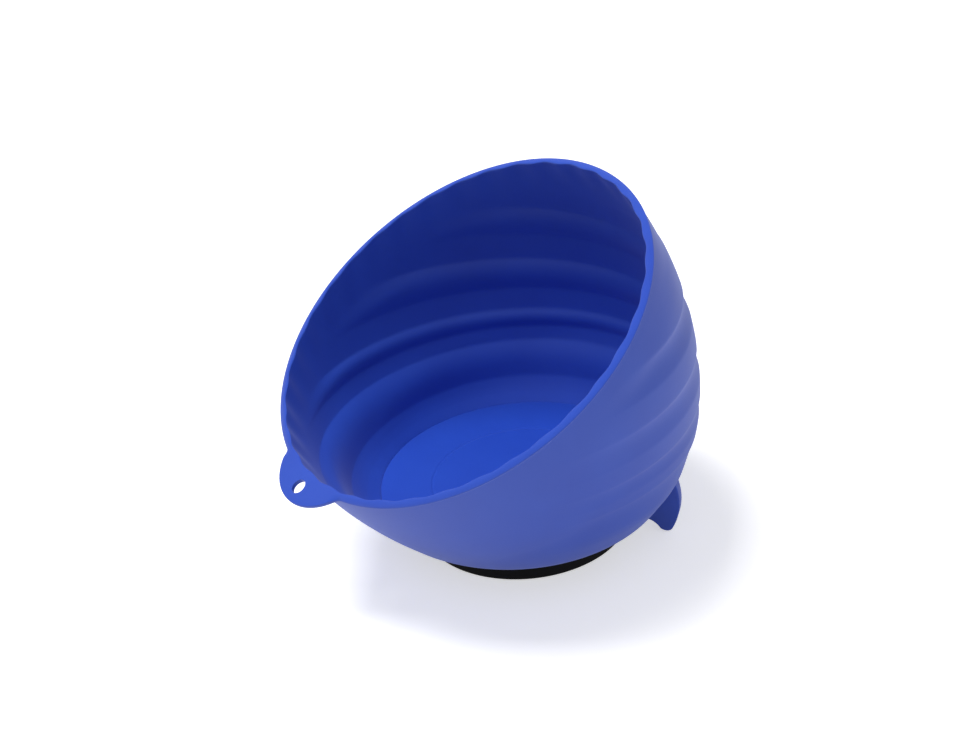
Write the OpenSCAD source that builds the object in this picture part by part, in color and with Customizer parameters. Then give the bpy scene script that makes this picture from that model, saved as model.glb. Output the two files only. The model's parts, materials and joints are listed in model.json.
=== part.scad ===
// Magnetic parts tray: a moulded bowl with a slanted round mouth on a rubber-covered pot magnet.
// Lengths are millimetres. The origin is the middle of the base's underside, +Z is up along the
// base axis, and -Y is the front, where the rim is lowest and carries the hang tab.

/* [Mouth] */
// Outer radius of the rim lip
mouth_r = 75; // [71:0.5:79]
// Lean of the mouth towards the front, in degrees
mouth_tilt = 30; // [26:0.5:34]
// Height of the mouth's middle above the floor
mouth_rise = 71.5; // [66:0.5:76]
// How far the mouth's middle lies in front of the base axis
mouth_ahead = 19; // [15:0.5:22]
// How far the rim lip stands out from the wall
lip_proud = 0.5; // [0.3:0.1:1.2]
// Height of the rim lip
lip_h = 2; // [1.8:0.1:2.6]

/* [Bowl wall] */
// Wall thickness
wall = 2; // [1.6:0.1:2.6]
// Radius of the upper wall's long arc
side_arc = 156; // [146:1:170]
// Depth below the mouth at which the long arc runs into the round bottom
side_depth = 72; // [68:0.5:75]
// Radius of the round bottom's arc
round_arc = 43; // [38:0.5:46]
// Largest radius of the belly round the base axis
belly_r = 64.5; // [63:0.25:65.5]
// Radius of the belly's arc
belly_arc = 54.5; // [52:0.5:57]
// Height of the belly's widest point above the floor
belly_rise = 31; // [29:0.5:33]

/* [Wall rings] */
// How far the rings stand out from the back of the wall
ring_proud = 0.9; // [0.6:0.1:1.2]
// How far the rings have run into the wall at its sides
ring_dive = 1; // [0.8:0.1:1.4]
// Heights of the rings, as shares of the way from the floor to the top of the rim
ring_shares = [0.05, 0.23, 0.358, 0.567]; // [0.04:0.002:0.6]
// Half the height of each ring where it leaves the wall
ring_halves = [3.5, 3, 4.6, 5.8]; // [2.8:0.1:6]

/* [Floor] */
// Radius of the sunk flat floor
floor_r = 52; // [46:0.5:52.4]
// Depth of the step round the floor
floor_step = 0.6; // [0.3:0.1:1]
// Thickness of the floor over the magnet's socket
floor_t = 5.5; // [4.5:0.25:8]
// Radius of the fine ring line on the floor
mark_r = 33; // [24:1:44]
// Width of the fine ring line
mark_w = 0.8; // [0.5:0.1:1.5]
// Depth of the fine ring line
mark_depth = 0.3; // [0.2:0.05:0.5]

/* [Hang tab] */
// Thickness of the tab
tab_t = 1.2; // [0.8:0.1:2]
// Radius of the tab's round end
tab_r = 19; // [16:0.5:22]
// How far the tab reaches beyond the rim
tab_reach = 9.5; // [8:0.25:12]
// Radius of the fillets between tab and rim
tab_fillet = 3; // [2:0.5:6]
// Radius of the hang hole
hang_r = 2.75; // [2:0.05:3.2]
// Distance of the hang hole's middle from the rim
hang_out = 3.5; // [3.25:0.05:4.25]

/* [Rear feet] */
// Angle of each foot from the back, in degrees
foot_angle = 45; // [38:1:60]
// Thickness of a foot
foot_t = 5; // [3:0.25:7]
// Distance of a foot's outer edge from the base axis, where it stands out furthest
foot_out = 58.6; // [56:0.2:61]
// Height at which a foot's outer edge stands out furthest
foot_out_z = 14; // [11:0.5:16]
// Radius of a foot's outer edge arc
foot_back_arc = 25; // [20:0.5:32]
// Width of a foot's tip on the table
foot_tip_w = 1.3; // [0.8:0.1:3]
// Radius of the arch between a foot's tip and the bowl
foot_arch_r = 10.5; // [8:0.25:11.5]

/* [Underside] */
// How far the bowl's flat underside reaches beyond the boot
under_w = 5; // [4:0.25:6]
// Rise of the underside from there to the belly, in degrees
under_lean = 19; // [15:1:23]

/* [Base] */
// Outer radius of the rubber boot
boot_r = 38.5; // [37.5:0.25:40]
// Height of the boot that shows under the bowl
boot_shown = 11; // [9.5:0.25:11.75]
// Thickness of the boot's skin under the magnet
boot_skin = 1.5; // [1:0.1:2.2]
// Thickness of the boot's wall inside the socket
boot_wall = 1.6; // [1.2:0.1:2]
// Thickness of the boot's lip, clamped between pot and bowl
boot_lip_t = 1; // [0.7:0.1:1.4]
// Width of the boot's lip
boot_lip_w = 5; // [3:0.5:8]
// How far the socket lies inside the boot's outer edge
socket_inset = 1.5; // [1:0.1:2]

/* [Magnet] */
// Height of the steel pot
pot_h = 10.5; // [9.5:0.25:12]
// Wall and roof thickness of the steel pot
pot_t = 1.5; // [1.2:0.1:2]
// Height of the ferrite ring
magnet_h = 8; // [7:0.25:8.5]
// Width of the air gap between ring and pot wall
magnet_gap = 2; // [1.2:0.1:3]
// Radius of the steel pole piece
pole_r = 11; // [9.5:0.25:13]
// Radius of the screw's shank
screw_r = 2.5; // [2:0.1:3]
// Radius of the screw's head
screw_head_r = 4.6; // [4.2:0.1:5]
// Height of the screw's head
screw_head_h = 2.6; // [2.2:0.1:3]
// Thickness of the split spring washer
washer_t = 1.1; // [0.8:0.1:1.4]
// Wall of the brass insert
insert_wall = 1.2; // [0.9:0.1:1.6]
// Floor left above the blind insert hole
insert_roof = 1; // [0.8:0.1:1.4]

/* [Hidden] */
$fn = 96;
blue = [0.16, 0.24, 0.72];
rubber_black = [0.06, 0.06, 0.07];
zinc = [0.74, 0.75, 0.76];
ferrite = [0.2, 0.2, 0.22];
brass = [0.75, 0.6, 0.28];

// Cuts run this far past the faces that they open
overrun = 1;
// Gap between a piece and the seat that it slides into
fit_gap = 0.15;
// Gap between the screw's thread and the insert's
thread_gap = 0.05;
// Chamfers on the boot's foot, the pot and the magnet
boot_chamfer = 1;
pot_chamfer = 0.6;
magnet_chamfer = 0.8;
// Drive recess of the screw, and the washer's slit
drive_r = 1.5;
drive_depth = 1.4;
washer_slit = 1;
// Knurl band of the insert is a plain waist
insert_waist = 0.4;
insert_waist_h = 1.2;

// Stack of the base, from the table up
pot_z = boot_skin;
pot_top = pot_z + pot_h;
socket_top = pot_top + boot_lip_t;
floor_z = socket_top + floor_t;
step_z = floor_z + floor_step;
mouth_z = floor_z + mouth_rise;

// Radii of the base's pieces, from the outside in
socket_r = boot_r - socket_inset;
plug_r = socket_r - fit_gap;
boot_bore = plug_r - boot_wall;
pot_r = boot_bore - fit_gap;
magnet_r = pot_r - pot_t - magnet_gap;
magnet_bore = pole_r + fit_gap;
pot_roof_z = pot_top - pot_t;
magnet_z = pot_roof_z - magnet_h;
shank_hole = screw_r + fit_gap;
head_hole = screw_head_r + fit_gap;
seat_z = pot_z + screw_head_h + washer_t;
insert_r = screw_r + thread_gap + insert_wall;
insert_top = floor_z - insert_roof;
insert_h = insert_top - socket_top;
under_r = boot_r + under_w;

// Wall arcs: the long arc is centred in the mouth's plane, and the round arc runs on from it
wall_r = mouth_r - lip_proud;
side_mid = wall_r - side_arc;
turn = asin(side_depth / side_arc);
round_mid_r = side_mid + (side_arc - round_arc) * cos(turn);
round_mid_d = (side_arc - round_arc) * sin(turn);
belly_z = floor_z + belly_rise;
belly_mid = belly_r - belly_arc;
// The round arc reaches this far past the long one, so that the two cross cleanly
blend_lap = 0.05;
// Larger than the whole bowl, for trimming
room = 3 * mouth_r;

// Middles of the wall's arcs in the tray's mirror plane, on the back's side
side_mid_y = -mouth_ahead + side_mid * cos(mouth_tilt);
side_mid_z = mouth_z + side_mid * sin(mouth_tilt);
round_mid_y = -mouth_ahead + round_mid_r * cos(mouth_tilt) + round_mid_d * sin(mouth_tilt);
round_mid_z = mouth_z + round_mid_r * sin(mouth_tilt) - round_mid_d * cos(mouth_tilt);
turn_z = side_mid_z + side_arc * sin(mouth_tilt - turn);
rim_top = mouth_z + mouth_r * sin(mouth_tilt);
// Outside of the wall's back at height z, on whichever of oval and belly lies further out
function oval_back(z) = z > turn_z ? side_mid_y + sqrt(side_arc * side_arc - pow(z - side_mid_z, 2))
    : round_mid_y + sqrt(round_arc * round_arc - pow(z - round_mid_z, 2));
function belly_back(z) = z > belly_z ? 0 : belly_mid + sqrt(belly_arc * belly_arc - pow(belly_z - z, 2));
function wall_back(z) = max(oval_back(z), belly_back(z));
// Outside of the wall's sides at height z, straight below the mouth's widest points
function side_d(z) = (mouth_z - z) / cos(mouth_tilt);
function side_x(z) = side_d(z) < side_depth ? side_mid + sqrt(side_arc * side_arc - pow(side_d(z), 2))
    : round_mid_r + sqrt(round_arc * round_arc - pow(side_d(z) - round_mid_d, 2));
function side_y(z) = -mouth_ahead + side_d(z) * sin(mouth_tilt);
// Middle and radius of the ring that stands proud of the back and has run into the sides
function ring_back(z) = wall_back(z) + ring_proud;
function ring_mid(z) = (pow(ring_back(z), 2) - pow(side_x(z) - ring_dive, 2) - pow(side_y(z), 2))
    / (2 * (ring_back(z) - side_y(z)));
function ring_r(z) = ring_back(z) - ring_mid(z);

// Tab, in the mouth's plane
tab_mid = mouth_r + tab_reach - tab_r;
fillet_y = (pow(mouth_r + tab_fillet, 2) - pow(tab_r + tab_fillet, 2) + pow(tab_mid, 2)) / (2 * tab_mid);
fillet_x = sqrt(pow(mouth_r + tab_fillet, 2) - pow(fillet_y, 2));
hang_y = mouth_r + hang_out;

// Foot, in a radial plane
foot_mid = foot_out - foot_back_arc;
foot_tip = foot_mid + sqrt(foot_back_arc * foot_back_arc - foot_out_z * foot_out_z);
arch_mid = foot_tip - foot_tip_w - foot_arch_r;

module in_mouth() {
    translate([0, -mouth_ahead, mouth_z]) rotate([mouth_tilt, 0, 0]) children();
}

// Half section of the oval bowl about the mouth's axis, with its wall moved in by inset. It runs on
// past the mouth, where the rim is trimmed flat.
module oval_half(inset) {
    intersection() {
        translate([side_mid, 0]) circle(side_arc - inset);
        translate([0, -side_depth]) square([wall_r, side_depth + overrun]);
    }
    intersection() {
        translate([round_mid_r, -round_mid_d]) circle(round_arc + blend_lap - inset);
        translate([0, -room]) square(room);
    }
    translate([0, -round_mid_d - round_arc + inset])
        square([round_mid_r, round_mid_d + round_arc - inset + overrun]);
}

// Half section of the belly about the base axis, with its wall moved in by inset
module belly_half(inset) {
    intersection() {
        translate([belly_mid, belly_z]) circle(belly_arc - inset);
        square([belly_r, belly_z]);
    }
}

// Round rings of the wall, level and about upright axes of their own
module wall_rings(inset) {
    for (i = [0 : len(ring_shares) - 1]) {
        z = floor_z + ring_shares[i] * (rim_top - floor_z);
        tube_r = (pow(ring_halves[i], 2) + pow(ring_proud, 2)) / (2 * ring_proud);
        translate([0, ring_mid(z), z]) rotate_extrude()
            translate([ring_r(z) - tube_r, 0]) circle(tube_r - inset);
    }
}

// Bowl as a full body, wall moved in by inset: oval about the mouth, belly about the base, and rings
module body(inset) {
    in_mouth() rotate_extrude() oval_half(inset);
    rotate_extrude() belly_half(inset);
    wall_rings(inset);
}

module below_mouth() {
    in_mouth() translate([0, 0, -room]) cylinder(r = room, h = room);
}

// Room above the bowl's underside, which is flat round the boot and then rises to the belly
module above_base() {
    rotate_extrude() polygon([[0, boot_shown], [under_r, boot_shown],
        [room, boot_shown + (room - under_r) * tan(under_lean)], [room, room], [0, room]]);
}

module above(z) {
    translate([0, 0, z]) cylinder(r = room, h = room);
}

// Hollow of the bowl, down to the step and the sunk floor
module hollow() {
    intersection() {
        body(wall);
        above(step_z);
    }
    translate([0, 0, floor_z]) cylinder(r = floor_r, h = floor_step + overrun);
    translate([0, 0, floor_z - mark_depth]) difference() {
        cylinder(r = mark_r + mark_w / 2, h = mark_depth + overrun);
        translate([0, 0, -overrun]) cylinder(r = mark_r - mark_w / 2, h = mark_depth + 3 * overrun);
    }
}

// Lip with a half-round outer edge
module rim_lip() {
    in_mouth() rotate_extrude() {
        translate([mouth_r - lip_h / 2, -lip_h / 2]) circle(lip_h / 2);
        translate([wall_r - wall, -lip_h]) square([wall + lip_proud - lip_h / 2, lip_h + overrun]);
    }
}

// Tab in the mouth's plane, with fillets that run into the rim
module tab_outline() {
    difference() {
        union() {
            translate([0, -tab_mid]) circle(tab_r);
            polygon([[-fillet_x, -fillet_y], [fillet_x, -fillet_y], [0, 0]]);
        }
        for (side = [-1, 1]) translate([side * fillet_x, -fillet_y]) circle(tab_fillet);
        translate([0, -fillet_y - room]) difference() {
            translate([-room, 0]) square([2 * room, room]);
            translate([0, room + fillet_y - tab_mid]) circle(tab_r);
        }
        circle(wall_r - wall / 2);
    }
}

module hang_tab() {
    in_mouth() translate([0, 0, -tab_t]) linear_extrude(tab_t + overrun) tab_outline();
}

// Foot in a radial plane: X outwards, Y up
module foot_outline() {
    difference() {
        intersection() {
            translate([foot_mid, foot_out_z]) circle(foot_back_arc);
            translate([boot_r + boot_chamfer, 0]) square([foot_back_arc, belly_z]);
        }
        translate([arch_mid, 0]) circle(foot_arch_r);
        translate([0, -overrun]) square([arch_mid, foot_arch_r + overrun]);
    }
}

module rear_feet() {
    for (side = [-1, 1])
        rotate(90 + side * foot_angle) rotate([90, 0, 0])
            translate([0, 0, -foot_t / 2]) linear_extrude(foot_t) foot_outline();
}

module bowl() {
    color(blue) difference() {
        union() {
            intersection() {
                union() {
                    body(0);
                    rim_lip();
                    hang_tab();
                }
                below_mouth();
                above_base();
            }
            rear_feet();
        }
        hollow();
        translate([0, 0, -overrun]) cylinder(r = socket_r, h = socket_top + overrun);
        translate([0, 0, socket_top - overrun]) cylinder(r = insert_r, h = insert_h + overrun);
        in_mouth() translate([0, -hang_y, -tab_t - overrun]) cylinder(r = hang_r, h = tab_t + 2 * overrun);
    }
}

// Cup-shaped rubber cover, pulled up round the pot, with a lip over the pot's roof
module base_boot() {
    color(rubber_black) rotate_extrude() difference() {
        polygon([[0, 0], [boot_r - boot_chamfer, 0], [boot_r, boot_chamfer], [boot_r, boot_shown],
                 [plug_r, boot_shown], [plug_r, socket_top], [0, socket_top]]);
        translate([0, boot_skin]) square([boot_bore, pot_h]);
        translate([0, boot_skin]) square([boot_bore - boot_lip_w, pot_h + boot_lip_t + overrun]);
    }
}

// Pressed steel pot, open downwards
module magnet_cup() {
    color(zinc) rotate_extrude() difference() {
        polygon([[shank_hole, pot_z], [pot_r, pot_z], [pot_r, pot_top - pot_chamfer],
                 [pot_r - pot_chamfer, pot_top], [shank_hole, pot_top]]);
        translate([0, pot_z - overrun]) square([pot_r - pot_t, pot_roof_z - pot_z + overrun]);
    }
}

module ring_magnet() {
    color(ferrite) rotate_extrude()
        polygon([[magnet_bore, magnet_z], [magnet_r - magnet_chamfer, magnet_z],
                 [magnet_r, magnet_z + magnet_chamfer], [magnet_r, pot_roof_z], [magnet_bore, pot_roof_z]]);
}

// Turned core of the magnet, counterbored for the screw's head and washer
module pole_piece() {
    color(zinc) rotate_extrude()
        polygon([[head_hole, pot_z], [pole_r, pot_z], [pole_r, pot_roof_z], [shank_hole, pot_roof_z],
                 [shank_hole, seat_z], [head_hole, seat_z]]);
}

module base_screw() {
    color(zinc) difference() {
        union() {
            translate([0, 0, pot_z]) cylinder(r = screw_head_r, h = screw_head_h);
            translate([0, 0, pot_z]) cylinder(r = screw_r, h = insert_top - pot_z);
        }
        translate([0, 0, pot_z - overrun])
            cylinder(r = drive_r, h = drive_depth + overrun, $fn = 6);
    }
}

// Split spring washer
module lock_washer() {
    color(zinc) translate([0, 0, pot_z + screw_head_h]) difference() {
        cylinder(r = screw_head_r, h = washer_t);
        translate([0, 0, -overrun]) cylinder(r = shank_hole, h = washer_t + 2 * overrun);
        translate([0, -washer_slit / 2, -overrun])
            cube([screw_head_r + overrun, washer_slit, washer_t + 2 * overrun]);
    }
}

// Brass insert with a plain waist that the plastic grips
module threaded_insert() {
    waist_z = socket_top + (insert_h - insert_waist_h) / 2;
    color(brass) rotate_extrude()
        polygon([[screw_r + thread_gap, socket_top], [insert_r, socket_top], [insert_r, waist_z],
                 [insert_r - insert_waist, waist_z], [insert_r - insert_waist, waist_z + insert_waist_h],
                 [insert_r, waist_z + insert_waist_h], [insert_r, insert_top],
                 [screw_r + thread_gap, insert_top]]);
}

bowl();
base_boot();
magnet_cup();
ring_magnet();
pole_piece();
base_screw();
lock_washer();
threaded_insert();
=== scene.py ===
"""Looks of the magnetic parts tray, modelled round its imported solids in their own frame.

The bowl is remade as one fine mesh with its ring-shaped corrugations, fluted rim, hang tab and feet.
The rubber boot is turned anew, and the sealed magnet pieces keep their solids under new finishes.
Sizes are millimetres until a mesh is written, and Blender's own units are metres.
"""

import json
import logging
import math
from dataclasses import dataclass, field
from enum import Enum
from typing import Any, Optional, Sequence

import bmesh
import bpy
import numpy as np
from mathutils import Matrix, Vector


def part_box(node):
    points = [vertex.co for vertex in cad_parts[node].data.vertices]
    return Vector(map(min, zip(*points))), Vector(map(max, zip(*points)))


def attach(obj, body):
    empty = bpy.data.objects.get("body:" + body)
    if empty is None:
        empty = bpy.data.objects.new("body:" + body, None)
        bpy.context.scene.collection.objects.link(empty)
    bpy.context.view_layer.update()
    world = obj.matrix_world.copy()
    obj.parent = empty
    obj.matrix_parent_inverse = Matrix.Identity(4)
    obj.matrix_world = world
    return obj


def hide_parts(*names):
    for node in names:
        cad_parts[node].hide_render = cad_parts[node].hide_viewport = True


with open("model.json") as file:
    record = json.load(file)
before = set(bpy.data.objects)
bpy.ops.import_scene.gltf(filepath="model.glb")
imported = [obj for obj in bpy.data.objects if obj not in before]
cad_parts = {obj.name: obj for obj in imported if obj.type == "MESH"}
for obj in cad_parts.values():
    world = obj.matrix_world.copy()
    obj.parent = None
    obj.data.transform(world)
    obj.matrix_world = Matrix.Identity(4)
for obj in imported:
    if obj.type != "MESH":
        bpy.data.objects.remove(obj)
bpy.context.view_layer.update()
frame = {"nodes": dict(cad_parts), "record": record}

log = logging.getLogger("parts_tray")

MM = 0.001
TINY = 1e-6
BODY = "root"
PHOTO_W_PX = 980
WHITE = "#FFFFFF"

# Kinds of node and settings that the trees share
MATHS = "ShaderNodeMath"
VECTOR_MATHS = "ShaderNodeVectorMath"
RAMP = "ShaderNodeMapRange"
STORED = "GeometryNodeInputNamedAttribute"
PLUS = {"operation": "ADD"}
MINUS = {"operation": "SUBTRACT"}
TIMES = {"operation": "MULTIPLY"}
LARGER = {"operation": "MAXIMUM"}
SCALED = {"operation": "SCALE"}
SOFT = {"interpolation_type": "SMOOTHSTEP"}
NUMBER = {"data_type": "FLOAT"}
VECTOR = {"data_type": "FLOAT_VECTOR"}

# A Mix node's colour sockets, by number because several of its sockets share a name
MIX_FACTOR, MIX_FIRST, MIX_SECOND, MIX_RESULT = 0, 6, 7, 2


class Slot(Enum):
    """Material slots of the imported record."""

    PLASTIC = "blue_plastic"
    RUBBER = "black_rubber"
    STEEL = "plated_steel"
    FERRITE = "ferrite"
    BRASS = "brass"


class Side(Enum):
    """Which skin of the bowl a row of its mesh belongs to."""

    INSIDE = -1.0
    EDGE = 0.0
    OUTSIDE = 1.0


def linear(colour: str) -> tuple[float, float, float, float]:
    """Turns an sRGB hex colour into linear values.

    Args:
        colour: Six hex digits, with or without a leading hash.

    Returns:
        Linear red, green and blue, and an alpha of one.
    """
    digits = colour.lstrip("#")
    parts = [int(digits[i:i + 2], 16) / 255 for i in (0, 2, 4)]
    values = [c / 12.92 if c <= 0.04045 else ((c + 0.055) / 1.055) ** 2.4 for c in parts]
    return values[0], values[1], values[2], 1.0


def plug(tree: bpy.types.NodeTree, node: bpy.types.Node, inputs: dict[Any, Any]) -> None:
    """Links or sets a node's inputs.

    Args:
        tree: The node's tree.
        node: The node.
        inputs: Values or output sockets, by input name or number.
    """
    for key, value in inputs.items():
        if isinstance(value, bpy.types.NodeSocket):
            tree.links.new(value, node.inputs[key])
        else:
            node.inputs[key].default_value = value


def add_node(tree: bpy.types.NodeTree, kind: str, settings: Optional[dict[str, Any]] = None,
             inputs: Optional[dict[Any, Any]] = None) -> bpy.types.Node:
    """Adds a node with its settings, and links or sets its inputs.

    Args:
        tree: The node tree that gets the node.
        kind: Blender's name for the node type.
        settings: Attributes of the node.
        inputs: Values or output sockets, by input name or number.

    Returns:
        The new node.
    """
    node = tree.nodes.new(kind)
    for name, value in (settings or {}).items():
        setattr(node, name, value)
    plug(tree, node, inputs or {})
    return node


def smoothstep(x: np.ndarray, low: float, high: float) -> np.ndarray:
    """Runs from 0 at low to 1 at high with flat ends."""
    t = np.clip((x - low) / (high - low), 0, 1)
    return t * t * (3 - 2 * t)


@dataclass(frozen=True)
class Finish:
    """A surface: what it is made of, and how it was made."""

    name: str
    slot: Slot

    def material(self) -> bpy.types.Material:
        """Makes the material, or finds it if it is there already.

        Returns:
            The material, which bears the finish's name.
        """
        found = bpy.data.materials.get(self.name)
        if found:
            return found
        made = bpy.data.materials.new(self.name)
        made.use_nodes = True
        tree = made.node_tree
        tree.nodes.clear()
        shader = add_node(tree, "ShaderNodeBsdfPrincipled")
        add_node(tree, "ShaderNodeOutputMaterial", inputs={"Surface": shader.outputs["BSDF"]})
        self.dress(tree, shader)
        return made

    def dress(self, tree: bpy.types.NodeTree, shader: bpy.types.Node) -> None:
        """Adds the finish's own nodes to the shader."""
        raise NotImplementedError


def pattern(tree: bpy.types.NodeTree, size_mm: float, detail: float = 2.0) -> bpy.types.NodeSocket:
    """Adds noise whose blotches are about size_mm across.

    Args:
        tree: The material's node tree.
        size_mm: Width of a blotch on the piece.
        detail: Octaves of the noise.

    Returns:
        The noise's factor socket.
    """
    where = add_node(tree, "ShaderNodeTexCoord")
    noise = add_node(tree, "ShaderNodeTexNoise", inputs={
        "Vector": where.outputs["Object"], "Scale": 1 / (size_mm * MM), "Detail": detail})
    return noise.outputs["Fac"]


def drift(tree: bpy.types.NodeTree, first: str, second: str, size_mm: float,
          detail: float) -> bpy.types.NodeSocket:
    """Adds a colour that drifts between two others in blotches.

    Args:
        tree: The material's node tree.
        first: One sRGB hex colour.
        second: The other.
        size_mm: Width of a blotch on the piece.
        detail: Octaves of the noise.

    Returns:
        The colour socket.
    """
    mix = add_node(tree, "ShaderNodeMix", {"data_type": "RGBA"}, {
        MIX_FACTOR: pattern(tree, size_mm, detail), MIX_FIRST: linear(first), MIX_SECOND: linear(second)})
    return mix.outputs[MIX_RESULT]


@dataclass(frozen=True)
class MouldedPolypropylene(Finish):
    """Blue polypropylene, injection moulded in a spark-eroded tool.

    The eye sees a soft matte blue with a pale haze at grazing angles, a fine even grain, and very faint
    cloudy flow marks.
    """

    name: str = "moulded polypropylene, spark-eroded matte"
    slot: Slot = Slot.PLASTIC
    deep: str = "#1A3EA8"
    pale: str = "#224AB6"
    haze: str = "#DCDCD6"
    flow_mm: float = 26.0
    flow_detail: float = 3.0
    grain_mm: float = 0.5
    grain_height_mm: float = 0.03
    grain_strength: float = 0.5
    roughness_low: float = 0.58
    roughness_high: float = 0.68
    ior: float = 1.49
    specular: float = 0.75
    sheen: float = 0.15
    sheen_roughness: float = 0.45

    def dress(self, tree: bpy.types.NodeTree, shader: bpy.types.Node) -> None:
        """Adds flow marks, grain and haze.

        Args:
            tree: The material's node tree.
            shader: Its Principled shader.
        """
        grain = pattern(tree, self.grain_mm)
        rough = add_node(tree, RAMP, inputs={
            "Value": grain, "To Min": self.roughness_low, "To Max": self.roughness_high})
        # Grain is drawn about twice as coarse as the real tool texture, so that it shows
        bump = add_node(tree, "ShaderNodeBump", inputs={
            "Height": grain, "Distance": self.grain_height_mm * MM, "Strength": self.grain_strength})
        plug(tree, shader, {
            "Base Color": drift(tree, self.deep, self.pale, self.flow_mm, self.flow_detail),
            "Roughness": rough.outputs["Result"], "Normal": bump.outputs["Normal"],
            "IOR": self.ior, "Specular IOR Level": self.specular, "Sheen Weight": self.sheen,
            "Sheen Roughness": self.sheen_roughness, "Sheen Tint": linear(self.haze)})


@dataclass(frozen=True)
class MouldedRubber(Finish):
    """Black nitrile rubber, compression moulded.

    The eye sees a dull near-black with a slight grey bloom in patches.
    """

    name: str = "moulded black nitrile rubber"
    slot: Slot = Slot.RUBBER
    black: str = "#060607"
    bloom: str = "#0D0D0F"
    bloom_mm: float = 9.0
    bloom_detail: float = 4.0
    grain_mm: float = 0.6
    grain_height_mm: float = 0.04
    grain_strength: float = 0.5
    roughness: float = 0.85
    ior: float = 1.52
    specular: float = 0.15

    def dress(self, tree: bpy.types.NodeTree, shader: bpy.types.Node) -> None:
        """Adds bloom and a fine grain.

        Args:
            tree: The material's node tree.
            shader: Its Principled shader.
        """
        bump = add_node(tree, "ShaderNodeBump", inputs={
            "Height": pattern(tree, self.grain_mm), "Distance": self.grain_height_mm * MM,
            "Strength": self.grain_strength})
        plug(tree, shader, {
            "Base Color": drift(tree, self.black, self.bloom, self.bloom_mm, self.bloom_detail),
            "Normal": bump.outputs["Normal"], "Roughness": self.roughness, "IOR": self.ior,
            "Specular IOR Level": self.specular})


@dataclass(frozen=True)
class WorkedMetal(Finish):
    """Turned and pressed metal, or ground ferrite where metallic is 0.

    The eye sees a colour that drifts in patches, and a gloss that fine working marks break up.
    """

    name: str = "zinc-plated steel, turned and pressed"
    slot: Slot = Slot.STEEL
    bright: str = "#C6C8CC"
    dull: str = "#A2A6AD"
    patch_mm: float = 6.0
    patch_detail: float = 3.0
    mark_mm: float = 0.4
    mark_height_mm: float = 0.01
    mark_strength: float = 0.4
    rough: float = 0.34
    rough_least: float = 0.85
    rough_most: float = 1.2
    metallic: float = 1.0

    def dress(self, tree: bpy.types.NodeTree, shader: bpy.types.Node) -> None:
        """Adds drifting colour and working marks.

        Args:
            tree: The material's node tree.
            shader: Its Principled shader.
        """
        marks = pattern(tree, self.mark_mm)
        rough = add_node(tree, RAMP, inputs={
            "Value": marks, "To Min": self.rough * self.rough_least, "To Max": self.rough * self.rough_most})
        bump = add_node(tree, "ShaderNodeBump", inputs={
            "Height": marks, "Distance": self.mark_height_mm * MM, "Strength": self.mark_strength})
        plug(tree, shader, {
            "Base Color": drift(tree, self.bright, self.dull, self.patch_mm, self.patch_detail),
            "Roughness": rough.outputs["Result"], "Normal": bump.outputs["Normal"],
            "Metallic": self.metallic})


POLYPROPYLENE = MouldedPolypropylene()
RUBBER = MouldedRubber()
ZINC_STEEL = WorkedMetal()
BRASS = WorkedMetal(name="brass, turned", slot=Slot.BRASS, bright="#CBA65A", dull="#A98442", patch_mm=5.0,
                    rough=0.28)
FERRITE = WorkedMetal(name="sintered ferrite, ground faces", slot=Slot.FERRITE, bright="#3A3A3D",
                      dull="#2C2C30", patch_mm=3.0, mark_mm=0.5, rough=0.6, metallic=0.0)


def mesh_piece(name: str, points: np.ndarray, faces: Sequence[Sequence[int]],
               finish: Finish) -> bpy.types.Object:
    """Makes an object at the origin from points in millimetres, with its faces turned outwards.

    Args:
        name: Name of the piece.
        points: Rows of x, y and z.
        faces: Corner numbers of each face.
        finish: Finish of the whole piece.

    Returns:
        The new object.
    """
    mesh = bpy.data.meshes.new(name)
    mesh.from_pydata((points * MM).tolist(), [], [list(f) for f in faces])
    build = bmesh.new()
    build.from_mesh(mesh)
    bmesh.ops.recalc_face_normals(build, faces=build.faces)
    build.to_mesh(mesh)
    build.free()
    mesh.materials.append(finish.material())
    piece = bpy.data.objects.new(name, mesh)
    bpy.context.scene.collection.objects.link(piece)
    return piece


def baked(piece: bpy.types.Object) -> bpy.types.Object:
    """Turns a piece's evaluated shape into its plain mesh and takes its modifiers off.

    Args:
        piece: The object with live modifiers.

    Returns:
        The same object.
    """
    graph = bpy.context.evaluated_depsgraph_get()
    mesh = bpy.data.meshes.new_from_object(piece.evaluated_get(graph))
    piece.modifiers.clear()
    old = piece.data
    piece.data = mesh
    bpy.data.meshes.remove(old)
    mesh.name = piece.name
    return piece


def shade(piece: bpy.types.Object, sharp_deg: float) -> None:
    """Shades a piece smooth, with edges over the given angle left sharp."""
    piece.data.shade_smooth()
    piece.data.set_sharp_from_angle(angle=math.radians(sharp_deg))


def seat(piece: bpy.types.Object, slot: Slot, *nodes: str) -> None:
    """Rides a finished piece on the tray, in place of the given nodes.

    Args:
        piece: The finished piece.
        slot: The record's slot for its material, which is not used.
        nodes: Names of the nodes that it stands for.
    """
    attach(piece, BODY)
    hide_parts(*nodes)
    log.info("%s: %d faces, for %s", piece.name, len(piece.data.polygons), ", ".join(nodes))


def level_ring(angles: np.ndarray, radius: Any, z: float) -> np.ndarray:
    """Points of a level ring at the given angles, with one radius or a radius for each."""
    r = np.broadcast_to(radius, angles.shape)
    return np.stack([r * np.cos(angles), r * np.sin(angles), np.full_like(angles, z)], axis=-1)


def lathe_faces(rows: int, columns: int) -> list[tuple[int, ...]]:
    """Quads between neighbouring rows of a ring grid.

    Args:
        rows: Number of rows.
        columns: Points in each row.

    Returns:
        Corner numbers of each quad.
    """
    return [(r * columns + c, r * columns + (c + 1) % columns,
             (r + 1) * columns + (c + 1) % columns, (r + 1) * columns + c)
            for r in range(rows - 1) for c in range(columns)]


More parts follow.
